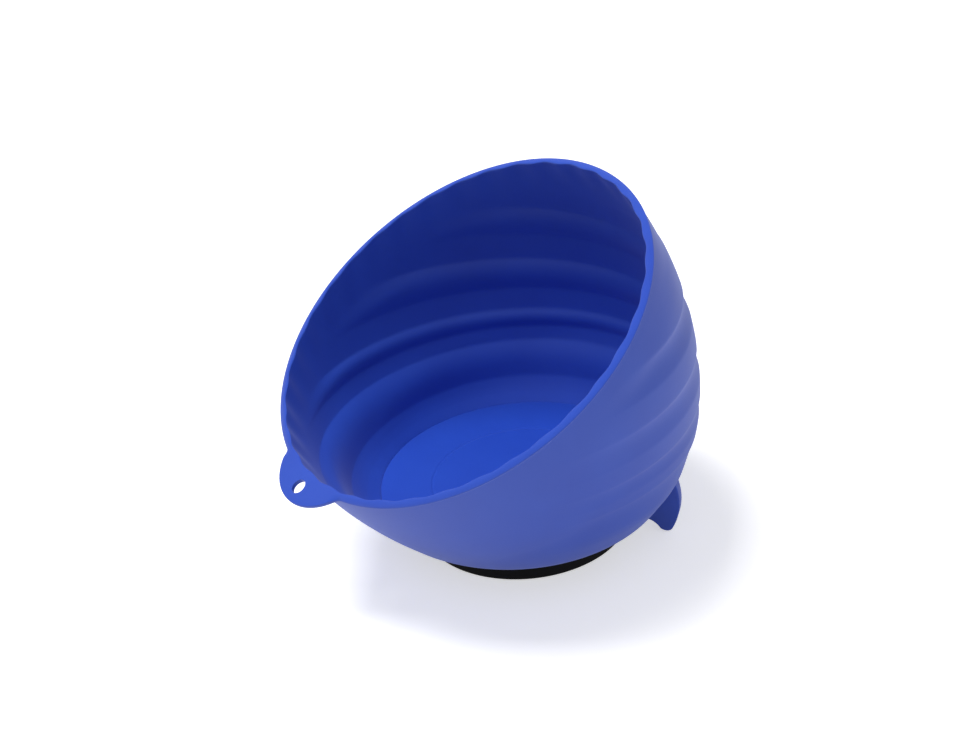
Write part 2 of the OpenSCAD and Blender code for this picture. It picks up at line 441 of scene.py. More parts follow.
def closed_faces(rows: int, columns: int) -> list[tuple[int, ...]]:
    """Faces of a ring grid that two more points close, one at its first row and one at its last.

    Args:
        rows: Number of rows.
        columns: Points in each row.

    Returns:
        Corner numbers of each face.
    """
    first_pole = rows * columns
    tail = first_pole - columns
    faces = lathe_faces(rows, columns)
    faces += [(first_pole, (c + 1) % columns, c) for c in range(columns)]
    faces += [(first_pole + 1, tail + c, tail + (c + 1) % columns) for c in range(columns)]
    return faces


@dataclass
class BowlForm:
    """Smooth form of the bowl: an oval about the leaning mouth axis, blended into a belly about the base."""

    mouth_r: float = 75.0
    mouth_tilt: float = math.radians(30)
    mouth_z: float = 90.0
    mouth_ahead: float = 19.0
    lip_proud: float = 0.5
    side_arc: float = 156.0
    side_depth: float = 72.0
    round_arc: float = 43.0
    belly_r: float = 64.5
    belly_arc: float = 54.5
    belly_z: float = 49.5
    blend: float = 1.2
    halvings: int = 44

    def __post_init__(self) -> None:
        """Works out the arcs' middles and the mouth's own axes."""
        tilt = self.mouth_tilt
        self.wall_r = self.mouth_r - self.lip_proud
        self.side_mid = self.wall_r - self.side_arc
        self.turn = math.asin(self.side_depth / self.side_arc)
        reach = self.side_arc - self.round_arc
        self.round_mid_r = self.side_mid + reach * math.cos(self.turn)
        self.round_mid_depth = reach * math.sin(self.turn)
        self.mouth_mid = np.array([0, -self.mouth_ahead, self.mouth_z])
        self.mouth_back = np.array([0, math.cos(tilt), math.sin(tilt)])
        self.mouth_up = np.array([0, -math.sin(tilt), math.cos(tilt)])

    def in_mouth(self, around: np.ndarray, radius: np.ndarray, depth: np.ndarray) -> np.ndarray:
        """Points placed in the mouth's own axes.

        Args:
            around: Angle of each point round the mouth.
            radius: Its distance from the mouth's axis.
            depth: Its depth below the mouth's plane.

        Returns:
            Rows of x, y and z.
        """
        across = np.cos(around)[..., None] * np.array([1.0, 0, 0])
        along = np.sin(around)[..., None] * self.mouth_back
        return self.mouth_mid + radius[..., None] * (across + along) - depth[..., None] * self.mouth_up

    def outside(self, points: np.ndarray) -> np.ndarray:
        """Distance of points from the bowl's outer skin.

        Args:
            points: Points in an array whose last axis is x, y and z.

        Returns:
            The distances, negative within the skin.
        """
        rel = points - self.mouth_mid
        depth = -rel @ self.mouth_up
        radius = np.sqrt(rel[..., 0] ** 2 + (rel @ self.mouth_back) ** 2)
        side = np.hypot(radius - self.side_mid, depth) - self.side_arc
        low_r = radius - self.round_mid_r
        low_d = depth - self.round_mid_depth
        low = np.where(low_r > 0, np.hypot(low_r, low_d), low_d) - self.round_arc
        oval = np.where(low_d * math.cos(self.turn) > low_r * math.sin(self.turn), low, side)
        base_r = np.hypot(points[..., 0], points[..., 1])
        belly_off = base_r - self.belly_r + self.belly_arc
        belly = np.hypot(belly_off, points[..., 2] - self.belly_z) - self.belly_arc
        mix = np.clip(0.5 + 0.5 * (belly - oval) / self.blend, 0, 1)
        return belly * (1 - mix) + oval * mix - self.blend * mix * (1 - mix)

    def skin(self, around: np.ndarray, share: np.ndarray, floor_z: float, inset: float) -> np.ndarray:
        """Points of a skin, on planes that turn from the mouth's to a level one.

        Args:
            around: Angle of each column.
            share: Place of each row, 0 at the mouth and 1 at the level plane.
            floor_z: Height of the level plane.
            inset: How far the skin lies inside the outer one.

        Returns:
            An array of rows by columns by three.
        """
        lean = self.mouth_tilt * (1 - share)[:, None]
        middle = self.mouth_mid + share[:, None] * (np.array([0, 0, floor_z]) - self.mouth_mid)
        across = np.broadcast_to(np.cos(around), (len(share), len(around)))
        way = np.stack([across, np.cos(lean) * np.sin(around), np.sin(lean) * np.sin(around)], axis=-1)
        near = np.zeros(way.shape[:2])
        far = np.full(way.shape[:2], 2 * self.mouth_r)
        for _ in range(self.halvings):
            half = (near + far) / 2
            out = self.outside(middle[:, None] + half[..., None] * way) + inset > 0
            far = np.where(out, half, far)
            near = np.where(out, near, half)
        return middle[:, None] + near[..., None] * way


@dataclass(frozen=True)
class Roll:
    """One ring of the wall, pressed inwards between two heights."""

    top: float
    bottom: float
    depth: float


@dataclass
class Corrugation:
    """Rings in the wall and flutes under the rim.

    Inside, level rolls with crisp edges stand in from the wall. Outside, a flatter hollow lies at the
    height of each roll, with a crisp upper edge and a soft lower end.
    """

    rolls: tuple[Roll, ...] = (Roll(98.0, 86.0, 0.9), Roll(74.5, 62.0, 1.3), Roll(53.0, 46.3, 1.1),
                               Roll(40.5, 27.3, 1.6))
    hollows: tuple[Roll, ...] = (Roll(93.8, 82.5, 1.1), Roll(71.7, 60.5, 1.1), Roll(52.3, 44.5, 0.7),
                                 Roll(39.5, 27.0, 0.55))
    roll_lean: float = 0.85
    hollow_lean: float = 0.75
    lift: float = 0.35
    first_z: float = 20.0
    last_z: float = 112.0
    window: float = 5.0
    rim_clear: float = 12.0
    outer_clear: float = 7.0
    rim_fade: float = 13.0
    front_y: float = -30.0
    front_fade: float = 56.0
    flutes: int = 36
    flute_depth: float = 0.6
    flute_reach: float = 16.0

    def sockets(self, finish: Finish) -> dict[str, tuple[str, Any]]:
        """Lists the named inputs of the tree.

        Args:
            finish: Finish of the piece.

        Returns:
            Kind and value of each input, by its name.
        """
        sizes = {"Ring lift": self.lift, "Rim clear": self.rim_clear, "Outer clear": self.outer_clear,
                 "Rim fade": self.rim_fade, "Flute depth": self.flute_depth, "Flute reach": self.flute_reach}
        return {**{name: ("NodeSocketFloat", size * MM) for name, size in sizes.items()},
                "Flute count": ("NodeSocketInt", self.flutes),
                "Finish": ("NodeSocketMaterial", finish.material())}

    def pressed(self, tree: bpy.types.NodeTree, height: bpy.types.NodeSocket, rolls: Sequence[Roll],
                lean: float) -> bpy.types.NodeSocket:
        """Adds how far rolls press the wall in at each height.

        Args:
            tree: The tree that gets the nodes.
            height: Height of each point.
            rolls: The rolls.
            lean: Power that moves a roll's nose up where it is below 1, and down where it is above.

        Returns:
            The socket of the sum.
        """
        total: Any = 0.0
        for roll in rolls:
            share = add_node(tree, RAMP, inputs={
                "Value": height, "From Min": roll.top * MM, "From Max": roll.bottom * MM})
            bent = add_node(tree, MATHS, {"operation": "POWER"}, {0: share.outputs["Result"], 1: lean})
            phase = add_node(tree, MATHS, TIMES, {0: bent.outputs[0], 1: math.pi})
            wave = add_node(tree, MATHS, {"operation": "SINE", "use_clamp": True}, {0: phase.outputs[0]})
            total = add_node(tree, MATHS, {"operation": "MULTIPLY_ADD"}, {
                0: wave.outputs[0], 1: roll.depth * MM, 2: total}).outputs[0]
        return total

    def ring_move(self, tree: bpy.types.NodeTree, given: Any) -> bpy.types.NodeSocket:
        """Adds how each point of the wall moves for the rings.

        Args:
            tree: The tree that gets the nodes.
            given: The tree's own inputs.

        Returns:
            The socket of the move.
        """
        place = add_node(tree, "GeometryNodeInputPosition").outputs[0]
        where = add_node(tree, "ShaderNodeSeparateXYZ", inputs={0: place}).outputs
        below = add_node(tree, STORED, NUMBER, {"Name": "below_rim"}).outputs["Attribute"]
        side = add_node(tree, STORED, NUMBER, {"Name": "skin_side"}).outputs["Attribute"]
        outer = add_node(tree, MATHS, {"operation": "GREATER_THAN"}, {
            0: side, 1: Side.OUTSIDE.value / 2}).outputs[0]
        inner = add_node(tree, MATHS, MINUS, {0: 1.0, 1: outer}).outputs[0]

        above_floor = add_node(tree, RAMP, SOFT, {
            "Value": where["Z"], "From Min": self.first_z * MM,
            "From Max": (self.first_z + self.window) * MM}).outputs["Result"]
        below_top = add_node(tree, RAMP, SOFT, {
            "Value": where["Z"], "From Min": (self.last_z - self.window) * MM, "From Max": self.last_z * MM,
            "To Min": 1.0, "To Max": 0.0}).outputs["Result"]
        window = add_node(tree, MATHS, TIMES, {0: above_floor, 1: below_top})

        # Outside, the rings run out towards the front
        rear = add_node(tree, RAMP, SOFT, {
            "Value": where["Y"], "From Min": self.front_y * MM,
            "From Max": (self.front_y + self.front_fade) * MM}).outputs["Result"]
        front = add_node(tree, MATHS, LARGER, {0: inner, 1: rear})
        inner_clear = add_node(tree, MATHS, TIMES, {0: given["Rim clear"], 1: inner})
        outer_clear = add_node(tree, MATHS, TIMES, {0: given["Outer clear"], 1: outer})
        clear = add_node(tree, MATHS, PLUS, {0: inner_clear.outputs[0], 1: outer_clear.outputs[0]})
        full = add_node(tree, MATHS, PLUS, {0: clear.outputs[0], 1: given["Rim fade"]})
        off_rim = add_node(tree, RAMP, SOFT, {
            "Value": below, "From Min": clear.outputs[0], "From Max": full.outputs[0]})
        fade = add_node(tree, MATHS, TIMES, {0: front.outputs[0], 1: off_rim.outputs["Result"]})
        shown = add_node(tree, MATHS, TIMES, {0: window.outputs[0], 1: fade.outputs[0]})

        hollows = add_node(tree, MATHS, TIMES, {
            0: self.pressed(tree, where["Z"], self.hollows, self.hollow_lean), 1: outer})
        rolls = add_node(tree, MATHS, TIMES, {
            0: self.pressed(tree, where["Z"], self.rolls, self.roll_lean), 1: inner})
        dip = add_node(tree, MATHS, PLUS, {0: hollows.outputs[0], 1: rolls.outputs[0]})
        swing = add_node(tree, MATHS, MINUS, {0: given["Ring lift"], 1: dip.outputs[0]})
        faded = add_node(tree, MATHS, TIMES, {0: swing.outputs[0], 1: shown.outputs[0]})
        ring = add_node(tree, MATHS, TIMES, {0: faded.outputs[0], 1: side})
        normal = add_node(tree, "GeometryNodeInputNormal").outputs[0]
        return add_node(tree, VECTOR_MATHS, SCALED, {0: normal, "Scale": ring.outputs[0]}).outputs[0]

    def flute_move(self, tree: bpy.types.NodeTree, given: Any) -> bpy.types.NodeSocket:
        """Adds how each point of the rim moves for the flutes.

        Args:
            tree: The tree that gets the nodes.
            given: The tree's own inputs.

        Returns:
            The socket of the move.
        """
        angle = add_node(tree, STORED, NUMBER, {"Name": "round_mouth"}).outputs["Attribute"]
        fluted = add_node(tree, STORED, NUMBER, {"Name": "fluted"}).outputs["Attribute"]
        below = add_node(tree, STORED, NUMBER, {"Name": "below_rim"}).outputs["Attribute"]
        inwards = add_node(tree, STORED, VECTOR, {"Name": "to_axis"}).outputs["Attribute"]
        turn = add_node(tree, MATHS, TIMES, {0: angle, 1: given["Flute count"]})
        swing = add_node(tree, MATHS, {"operation": "COSINE"}, {0: turn.outputs[0]})
        raised = add_node(tree, MATHS, PLUS, {0: swing.outputs[0], 1: 1.0})
        wave = add_node(tree, MATHS, TIMES, {0: raised.outputs[0], 1: 0.5})
        deep = add_node(tree, MATHS, TIMES, {0: wave.outputs[0], 1: given["Flute depth"]})
        fade = add_node(tree, RAMP, SOFT, {
            "Value": below, "From Min": 0.0, "From Max": given["Flute reach"], "To Min": 1.0, "To Max": 0.0})
        share = add_node(tree, MATHS, TIMES, {0: fluted, 1: fade.outputs["Result"]})
        flute = add_node(tree, MATHS, TIMES, {0: deep.outputs[0], 1: share.outputs[0]})
        return add_node(tree, VECTOR_MATHS, SCALED, {0: inwards, "Scale": flute.outputs[0]}).outputs[0]

    def tree(self, sockets: dict[str, tuple[str, Any]]) -> bpy.types.NodeTree:
        """Builds the node tree that rings the wall and flutes the rim.

        Args:
            sockets: Kind and value of each named input.

        Returns:
            The tree, with its sizes as named inputs.
        """
        tree = bpy.data.node_groups.new("ring_and_flute", "GeometryNodeTree")
        face = tree.interface
        face.new_socket("Geometry", in_out="INPUT", socket_type="NodeSocketGeometry")
        for name, (kind, _) in sockets.items():
            face.new_socket(name, in_out="INPUT", socket_type=kind)
        face.new_socket("Geometry", in_out="OUTPUT", socket_type="NodeSocketGeometry")
        given = add_node(tree, "NodeGroupInput").outputs
        move = add_node(tree, VECTOR_MATHS, PLUS, {
            0: self.ring_move(tree, given), 1: self.flute_move(tree, given)})
        moved = add_node(tree, "GeometryNodeSetPosition", inputs={
            "Geometry": given["Geometry"], "Offset": move.outputs[0]})
        real = add_node(tree, "GeometryNodeRealizeInstances", inputs={0: moved.outputs[0]})
        dressed = add_node(tree, "GeometryNodeSetMaterial", inputs={
            "Geometry": real.outputs[0], "Material": given["Finish"]})
        add_node(tree, "NodeGroupOutput", inputs={0: dressed.outputs[0]})
        return tree

    def apply(self, piece: bpy.types.Object, finish: Finish) -> bpy.types.Object:
        """Runs the tree on a piece and leaves a plain mesh.

        Args:
            piece: The smooth shell, with the values that the tree reads stored on its mesh.
            finish: Finish of the piece.

        Returns:
            The same object, ringed and fluted.
        """
        sockets = self.sockets(finish)
        tree = self.tree(sockets)
        names = {s.name: s.identifier for s in tree.interface.items_tree if s.in_out == "INPUT"}
        modifier = piece.modifiers.new("ring_and_flute", "NODES")
        modifier.node_group = tree
        for name, (_, value) in sockets.items():
            modifier[names[name]] = value
        return baked(piece)


@dataclass
class RingGrid:
    """Rows of points for one closed skin, from the floor's middle over the rim to the socket underneath."""

    rows: list[np.ndarray] = field(default_factory=list)
    sides: list[float] = field(default_factory=list)
    flutes: list[float] = field(default_factory=list)

    def add(self, points: np.ndarray, side: Side = Side.EDGE, fluted: float = 0.0) -> None:
        """Adds one row.

        Args:
            points: Its points.
            side: The skin that it belongs to.
            fluted: How far it follows the flutes.
        """
        self.rows.append(points)
        self.sides.append(side.value)
        self.flutes.append(fluted)


@dataclass
class Tray:
    """The blue moulding: bowl, rim lip, hang tab, floor, feet and the socket underneath."""

    form: BowlForm = field(default_factory=BowlForm)
    rings: Corrugation = field(default_factory=Corrugation)
    finish: Finish = POLYPROPYLENE
    sharp_deg: float = 38.0
    columns: int = 330
    inner_rows: int = 116
    inner_start: float = 0.008
    outer_rows: int = 132
    outer_start: float = 0.034
    wall: float = 2.0

    lip_h: float = 1.3
    lip_tuck: float = math.radians(54)
    lip_foot: float = 0.4
    rim_round: float = 0.5
    rim_fall: float = 0.7
    rim_thinning: float = 0.6
    rim_lean: float = math.radians(40)
    rim_round_rows: int = 3
    rim_shares: tuple[float, ...] = (0.2, 0.4, 0.6, 0.8, 1.0)
    lip_rows_round: int = 9
    lip_foot_shares: tuple[float, ...] = (0.25, 0.5, 0.75)

    tab_r: float = 21.5
    tab_reach: float = 9.3
    tab_fillet: float = 2.5
    tab_blend: float = 2.0
    tab_squareness: float = 0.6
    pin_half: float = 5.0
    pin_sides: int = 48

    floor_r: float = 52.0
    floor_z: float = 18.5
    floor_step: float = 0.25
    floor_slope: float = 3.0
    floor_radii: tuple[float, ...] = (2.0, 11.0, 22.0)
    floor_last_radius: float = 42.0
    step_profile: tuple[tuple[float, float], ...] = (
        (2.0, 0.0), (0.7, 0.0), (0.4, 0.25), (0.1, 0.75), (0.0, 0.9))
    slope_shares: tuple[float, ...] = (0.1, 0.5)
    mark_r: float = 33.0
    mark_w: float = 0.8
    mark_depth: float = 0.15

    boot_shown: float = 11.0
    under_r: float = 43.5
    under_lean: float = math.radians(19)
    under_round: float = 2.0
    under_rows: int = 8
    socket_r: float = 37.0
    socket_z: float = 13.0
    socket_bevel: float = 0.4
    insert_r: float = 3.75
    insert_z: float = 17.5

    foot_angle: float = 45.0
    foot_t: float = 5.0
    foot_out: float = 58.6
    foot_out_z: float = 14.0
    foot_back_arc: float = 25.0
    foot_back_rows: int = 22
    foot_tip_w: float = 2.6
    foot_tip_round: float = 1.6
    foot_tip_skew: float = 0.4
    foot_tip_rows: int = 10
    foot_arch_r: float = 8.0
    foot_arch_z: float = -2.1
    foot_arch_rows: int = 14
    foot_sunk: float = 1.3
    foot_root_rows: int = 12
    foot_bevel: float = 0.7
    foot_bevel_rows: int = 3
    foot_bevel_over: float = math.radians(60)

    def tab_edge(self, around: np.ndarray) -> np.ndarray:
        """Radius of the rim's outer edge, with the tab and its fillets at the front.

        Args:
            around: Angle of each column.

        Returns:
            The radius at each angle.
        """
        rim, fillet = self.form.mouth_r, self.tab_fillet
        mid = rim + self.tab_reach - self.tab_r
        fillet_y = ((rim + fillet) ** 2 - (self.tab_r + fillet) ** 2 + mid ** 2) / (2 * mid)
        fillet_x = math.sqrt((rim + fillet) ** 2 - fillet_y ** 2)
        off = np.abs((around + math.pi / 2 + math.pi) % (2 * math.pi) - math.pi)
        end = mid * np.cos(off) + np.sqrt(np.maximum(self.tab_r ** 2 - (mid * np.sin(off)) ** 2, 0))
        way = math.atan2(fillet_x, fillet_y)
        far = math.hypot(fillet_x, fillet_y)
        lag = off - way
        hollow = far * np.cos(lag) - np.sqrt(np.maximum(fillet ** 2 - (far * np.sin(lag)) ** 2, 0))
        touch = self.tab_r / (self.tab_r + fillet)
        meets = math.atan2(touch * fillet_x, mid + touch * (fillet_y - mid))
        return np.where(off < meets, end, np.where(off < way, hollow, rim))

    def lip_rows(self, around: np.ndarray) -> list[tuple[np.ndarray, np.ndarray, float]]:
        """Rows over the rim, from its inner edge over the lip and tab to the wall below.

        Args:
            around: Angle of each column.

        Returns:
            Radius and depth of each row's points, and how far the row follows the flutes.
        """
        inner = self.form.wall_r - self.wall
        edge = self.tab_edge(around)
        out = smoothstep(edge - self.form.mouth_r, 0.0, self.tab_blend)
        # The rim falls outwards from a narrow crest, and the tab stays flat
        fall = self.rim_fall * (1 - out)
        half = (self.lip_h - self.rim_thinning * fall) / 2
        power = 1 - self.tab_squareness * out
        first = math.pi / 2 - self.rim_lean * (1 - out)
        last = self.lip_tuck + out * (math.pi / 2 - self.lip_tuck)
        top = fall - half * (1 - np.sin(first) ** power)
        rows = []
        for k in range(1, self.rim_round_rows + 1):
            turn = k / self.rim_round_rows * math.pi / 2
            rows.append((np.full_like(around, inner + self.rim_round * (1 - math.cos(turn))),
                         np.full_like(around, self.rim_round * (1 - math.sin(turn))), 1.0))
        start = inner + self.rim_round
        end = edge - half * (1 - np.abs(np.cos(first)) ** power)
        for share in self.rim_shares:
            rows.append((start + share * (end - start), fall * share ** 2, 1 - share))
        for k in range(1, self.lip_rows_round + 1):
            turn = first - k / self.lip_rows_round * (first + last)
            swell = np.abs(np.cos(turn)) ** power
            rise = np.sign(np.sin(turn)) * np.abs(np.sin(turn)) ** power
            rows.append((edge - half + half * swell, top + half - half * rise, 0.0))
        base_r, base_d, _ = rows[-1]
        foot_r, foot_d = self.form.wall_r, self.lip_h + self.lip_foot
        for share in self.lip_foot_shares:
            rows.append((base_r + share * (foot_r - base_r), base_d + share * (foot_d - base_d), 0.0))
        return rows

    def underside_edge(self) -> tuple[float, float]:
        """Finds where the leaning underside meets the belly.

        Returns:
            Radius and height of that edge.
        """
        form = self.form
        lean = np.array([math.cos(self.under_lean), math.sin(self.under_lean)])
        start = np.array([self.under_r, self.boot_shown])
        off = start - np.array([form.belly_r - form.belly_arc, form.belly_z])
        along = -off @ lean + math.sqrt((off @ lean) ** 2 - off @ off + form.belly_arc ** 2)
        radius, z = start + along * lean
        return float(radius), float(z)

    def add_floor(self, grid: RingGrid, wall_foot: np.ndarray) -> None:
        """Adds the floor with its ring mark, the step at its edge and the slope up to the wall.

        Args:
            grid: The grid that gets the rows.
            wall_foot: The lowest row of the wall's inside.
        """
        z, low, half = self.floor_z, self.floor_z - self.mark_depth, self.mark_w / 2
        outline = [(radius, z) for radius in self.floor_radii]
        outline += [(self.mark_r - 2 * half, z), (self.mark_r - half, z), (self.mark_r - half / 2, low),
                    (self.mark_r + half / 2, low), (self.mark_r + half, z), (self.mark_r + 2 * half, z),
                    (self.floor_last_radius, z)]
        outline += [(self.floor_r - inwards * self.floor_step, z + rise * self.floor_step)
                    for inwards, rise in self.step_profile]
        level = np.arctan2(wall_foot[:, 1], wall_foot[:, 0])
        for radius, height in outline:
            grid.add(level_ring(level, radius, height))
        # The wall's last few millimetres run straight down to the floor's edge
        step = grid.rows[-1]
        for share in self.slope_shares:
            grid.add(step + share * (wall_foot - step))

    def add_underside(self, grid: RingGrid, wall_end: np.ndarray) -> None:
        """Adds the rounded turn under the belly, the leaning underside and the socket for the magnet.

        Args:
            grid: The grid that gets the rows.
            wall_end: The lowest row of the wall's outside.
        """
        level = np.arctan2(wall_end[:, 1], wall_end[:, 0])
        wall_r = np.hypot(wall_end[:, 0], wall_end[:, 1])
        turn_r, turn_z = self.underside_edge()
        wall_z = turn_z + self.under_round
        low_r = turn_r - self.under_round * math.cos(self.under_lean)
        low_z = turn_z - self.under_round * math.sin(self.under_lean)
        for share in np.linspace(0, 1, self.under_rows)[1:]:
            start, mid, end = (1 - share) ** 2, 2 * share * (1 - share), share ** 2
            grid.add(level_ring(level, start * wall_r + mid * turn_r + end * low_r,
                                start * wall_z + mid * turn_z + end * low_z))
        shown, bevel = self.boot_shown, self.socket_bevel
        for radius, z in ((self.under_r, shown), (self.socket_r + bevel, shown),
                          (self.socket_r, shown + bevel), (self.socket_r, self.socket_z),
                          (self.insert_r, self.socket_z), (self.insert_r, self.insert_z)):
            grid.add(level_ring(level, radius, z))

    def shell(self) -> bpy.types.Object:
        """Builds the closed shell as one ring grid, then rings and flutes it.

        Returns:
            The shell, without feet and hole.
        """
        form = self.form
        around = np.linspace(0, 2 * math.pi, self.columns, endpoint=False) - math.pi / 2
        slope_z = self.floor_z + self.floor_step + self.floor_slope
        under_z = self.underside_edge()[1] + self.under_round
        inner_shares = np.linspace(self.inner_start, 1, self.inner_rows)
        outer_shares = np.linspace(self.outer_start, 1, self.outer_rows)
        inside = form.skin(around, inner_shares, slope_z, self.wall)[::-1]
        outside = form.skin(around, outer_shares, under_z, 0.0)
        grid = RingGrid()
        self.add_floor(grid, inside[0])
        for row in inside:
            grid.add(row, Side.INSIDE, 1.0)
        for radius, depth, fluted in self.lip_rows(around):
            grid.add(form.in_mouth(around, radius, depth), Side.EDGE, fluted)
        for row in outside:
            grid.add(row, Side.OUTSIDE)
        self.add_underside(grid, outside[-1])
        poles = np.array([[0, 0, self.floor_z], [0, 0, self.insert_z]])
        points = np.vstack([*grid.rows, poles])
        piece = mesh_piece("bowl", points, closed_faces(len(grid.rows), self.columns), self.finish)
        self.store(piece, points, grid, around)
        return self.rings.apply(piece, self.finish)

    def store(self, piece: bpy.types.Object, points: np.ndarray, grid: RingGrid, around: np.ndarray) -> None:
        """Keeps on the mesh what the corrugation reads.

        Args:
            piece: The shell.
            points: Its points, with the two poles last.
            grid: Its rows.
            around: Angle of each column.
        """
        up = self.form.mouth_up
        rel = points - self.form.mouth_mid
        flat = rel - np.outer(rel @ up, up)
        inwards = -flat / np.maximum(np.linalg.norm(flat, axis=1, keepdims=True), TINY)
        by_row = {"skin_side": np.repeat(grid.sides, self.columns),
                  "fluted": np.repeat(grid.flutes, self.columns),
                  "round_mouth": np.tile(around, len(grid.rows))}
        values = {name: np.pad(value, (0, len(points) - len(value))) for name, value in by_row.items()}
        values["below_rim"] = -(rel @ up) * MM
        attributes = piece.data.attributes
        for name, value in values.items():
            attributes.new(name, "FLOAT", "POINT").data.foreach_set("value", value.astype(np.float32))
        to_axis = attributes.new("to_axis", "FLOAT_VECTOR", "POINT")
        to_axis.data.foreach_set("vector", inwards.astype(np.float32).ravel())

    def foot_outline(self) -> list[tuple[float, float]]:
        """Draws a foot in its radial plane: back, root inside the bowl, arch and rounded tip.

        Returns:
            Radius and height of each corner.
        """
        form = self.form
        back_arc, back_z = self.foot_back_arc, self.foot_out_z
        mid = self.foot_out - back_arc
        tip = mid + math.sqrt(back_arc ** 2 - back_z ** 2)
        arch = tip - self.foot_tip_w - math.sqrt(self.foot_arch_r ** 2 - self.foot_arch_z ** 2)
        sunk = form.belly_arc - self.foot_sunk
        belly_mid = form.belly_r - form.belly_arc
        gap_r, gap_z = belly_mid - mid, form.belly_z - back_z
        gap = math.hypot(gap_r, gap_z)
        spread = math.acos((gap ** 2 + back_arc ** 2 - sunk ** 2) / (2 * gap * back_arc))
        back_top = math.atan2(gap_z, gap_r) - spread
        back_low = -math.asin((back_z - self.foot_tip_round) / back_arc)
        outline = [(mid + back_arc * math.cos(a), back_z + back_arc * math.sin(a))
                   for a in np.linspace(back_low, back_top, self.foot_back_rows)]
        # The plate's root lies inside the solid base of the bowl
        root_z = self.underside_edge()[1] + self.foot_sunk
        for z in np.linspace(outline[-1][1], root_z, self.foot_root_rows)[1:]:
            outline.append((belly_mid + math.sqrt(sunk ** 2 - (form.belly_z - z) ** 2), z))
        outline.append((arch, root_z))
        arch_low = math.asin((self.foot_tip_round - self.foot_arch_z) / self.foot_arch_r)
        outline += [(arch + self.foot_arch_r * math.cos(a), self.foot_arch_z + self.foot_arch_r * math.sin(a))
                    for a in np.linspace(math.pi / 2, arch_low, self.foot_arch_rows)]
        first, last = np.array(outline[0]), np.array(outline[-1])
        low = np.array([(first[0] + last[0]) / 2 + self.foot_tip_skew, 0.0])
        outline += [tuple((1 - t) ** 2 * last + 2 * t * (1 - t) * low + t ** 2 * first)
                    for t in np.linspace(0, 1, self.foot_tip_rows)[1:-1]]
        return outline

    def foot(self, side: int) -> bpy.types.Object:
        """Builds one rear foot as a plate in a radial plane, sunk a little into the wall.

        Args:
            side: -1 for the right foot as seen from the front, and 1 for the left one.

        Returns:
            The foot as its own closed mesh.
        """
        outline = self.foot_outline()
        turn = math.radians(90 + side * self.foot_angle)
        way = np.array([math.cos(turn), math.sin(turn), 0])
        across = np.array([-math.sin(turn), math.cos(turn), 0])
        up = np.array([0, 0, 1.0])
        points = np.array([r * way + s * self.foot_t / 2 * across + z * up
                           for s in (-1, 1) for r, z in outline])
        n = len(outline)
        faces = [tuple(range(n)), tuple(range(2 * n - 1, n - 1, -1))]
        faces += [(k, (k + 1) % n, n + (k + 1) % n, n + k) for k in range(n)]
        piece = mesh_piece(f"foot_{side}", points, faces, self.finish)
        bevel = piece.modifiers.new("edge", "BEVEL")
        bevel.width = self.foot_bevel * MM
        bevel.segments = self.foot_bevel_rows
        bevel.limit_method = "ANGLE"
        bevel.angle_limit = self.foot_bevel_over
        return baked(piece)

    def hole_pin(self) -> bpy.types.Object:
        """Builds the pin that cuts the hang hole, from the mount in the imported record.

        Returns:
            The pin.
        """
        mount = next(m for m in frame["record"]["mounts"] if m["name"] == "hang_hole")
        middle = np.array(mount["pos_m"]) / MM
        axis = np.array(mount["axis"])
        across = np.array([1.0, 0, 0])
        along = np.cross(axis, across)
        count = self.pin_sides
        # Half a step of turn keeps the pin's edges off the shell's middle column
        turns = (np.arange(count) + 0.5) * 2 * math.pi / count
        circle = mount["dims"]["r_mm"] * (np.cos(turns)[:, None] * across + np.sin(turns)[:, None] * along)
        points = np.vstack([middle + circle + s * self.pin_half * axis for s in (-1, 1)])
        faces = lathe_faces(2, count) + [tuple(range(count)), tuple(range(2 * count - 1, count - 1, -1))]
        return mesh_piece("hole_pin", points, faces, self.finish)

    def build(self) -> bpy.types.Object:
        """Builds the moulding and seats it in place of the bowl node.

        Returns:
            The finished piece.
        """
        piece = self.shell()
        tools = [(self.foot(-1), "UNION"), (self.foot(1), "UNION"), (self.hole_pin(), "DIFFERENCE")]
        for tool, operation in tools:
            join = piece.modifiers.new(tool.name, "BOOLEAN")
            join.object = tool
            join.operation = operation
            join.solver = "EXACT"
        baked(piece)
        for tool, _ in tools:
            bpy.data.objects.remove(tool)
        piece.name = "bowl_moulding"
        shade(piece, self.sharp_deg)
        seat(piece, Slot.PLASTIC, "bowl")
        return piece


